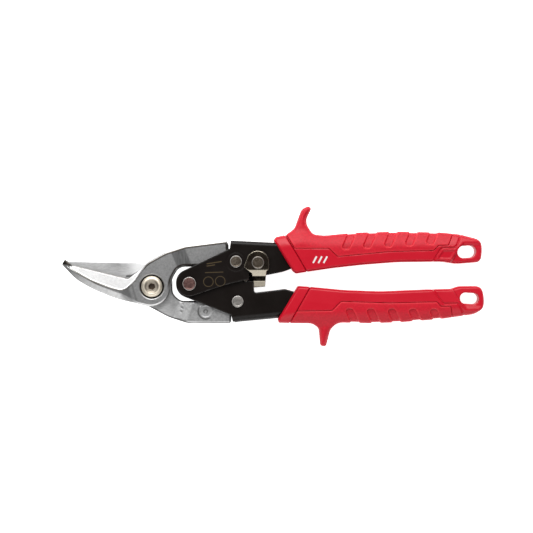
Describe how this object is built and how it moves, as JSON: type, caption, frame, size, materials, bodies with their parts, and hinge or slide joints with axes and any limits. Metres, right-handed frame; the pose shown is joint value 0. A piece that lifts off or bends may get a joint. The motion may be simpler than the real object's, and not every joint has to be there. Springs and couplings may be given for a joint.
{
  "type": "aviation snips",
  "caption": "Compound-action aviation snips with offset jaws, folded steel handles, two-tone moulded grips, a bolted main pivot and a swinging lock latch.",
  "frame": {"origin": "on the main pivot's axis, at the closed rear face of the pivot nut, in the plane that the snips rest on", "axes": "+X from the jaws towards the handle ends, +Y towards the upper handle, +Z along the pivot axis towards the bolt's head"},
  "size_m": [0.2581, 0.0859, 0.0204],
  "materials": {
    "ground_steel": "fine ground, satin",
    "forged_steel": "as forged, satin",
    "nickel_plate": "bright warm nickel plate",
    "rivet_steel": "dark mottled steel",
    "pale_rivet_steel": "pale mottled steel",
    "black_coat": "semi-gloss black coating",
    "spring_steel": "drawn wire",
    "hard_red_plastic": "satin moulded",
    "soft_red_rubber": "fine grained, soft"
  },
  "bodies": {
    "lower_handle": {"lower_handle_frame": "black_coat", "handle_rivet": "rivet_steel", "lower_blade_rivet": "pale_rivet_steel", "spring_sleeve": "rivet_steel", "torsion_spring": "spring_steel", "latch_keeper": "rivet_steel", "lower_grip_collar": "hard_red_plastic", "lower_grip_core": "hard_red_plastic", "lower_grip_cover": "soft_red_rubber"},
    "upper_handle": {"upper_handle_frame": "black_coat", "upper_blade_rivet": "rivet_steel", "upper_spacer_front": "rivet_steel", "upper_spacer_rear": "rivet_steel", "latch_rivet": "rivet_steel", "latch_washer": "rivet_steel", "upper_grip_collar": "hard_red_plastic", "upper_grip_core": "hard_red_plastic", "upper_grip_cover": "soft_red_rubber"},
    "rear_blade_body": {"rear_blade": "forged_steel", "pivot_bolt": "nickel_plate", "pivot_washer": "black_coat", "pivot_nut": "nickel_plate"},
    "front_blade_body": {"front_blade": "ground_steel"},
    "latch_body": {"lock_latch": "nickel_plate"}
  },
  "joints": [
    {"name": "handle_pivot", "type": "hinge", "parent": "lower_handle", "child": "upper_handle", "pos_m": [0.0231, 0.0018, 0.009], "axis": [0, 0, 1], "range_deg": [0, 32], "deforming": ["torsion_spring"]},
    {"name": "rear_blade_pivot", "type": "hinge", "parent": "lower_handle", "child": "rear_blade_body", "pos_m": [0.0525, -0.0091, 0.009], "axis": [0, 0, 1], "range_deg": [0, 7.38]},
    {"name": "main_pivot", "type": "hinge", "parent": "rear_blade_body", "child": "front_blade_body", "pos_m": [0, 0, 0.009], "axis": [0, 0, 1], "range_deg": [0, 17.31]},
    {"name": "latch_pivot", "type": "hinge", "parent": "upper_handle", "child": "latch_body", "pos_m": [0.0649, 0.0146, 0.009], "axis": [0, 0, 1], "range_deg": [-10, 0]}
  ],
  "couplings": [
    {"joint": "rear_blade_pivot", "follows": "handle_pivot", "ratio": 0.2213},
    {"joint": "main_pivot", "follows": "handle_pivot", "ratio": 0.5317}
  ]
}
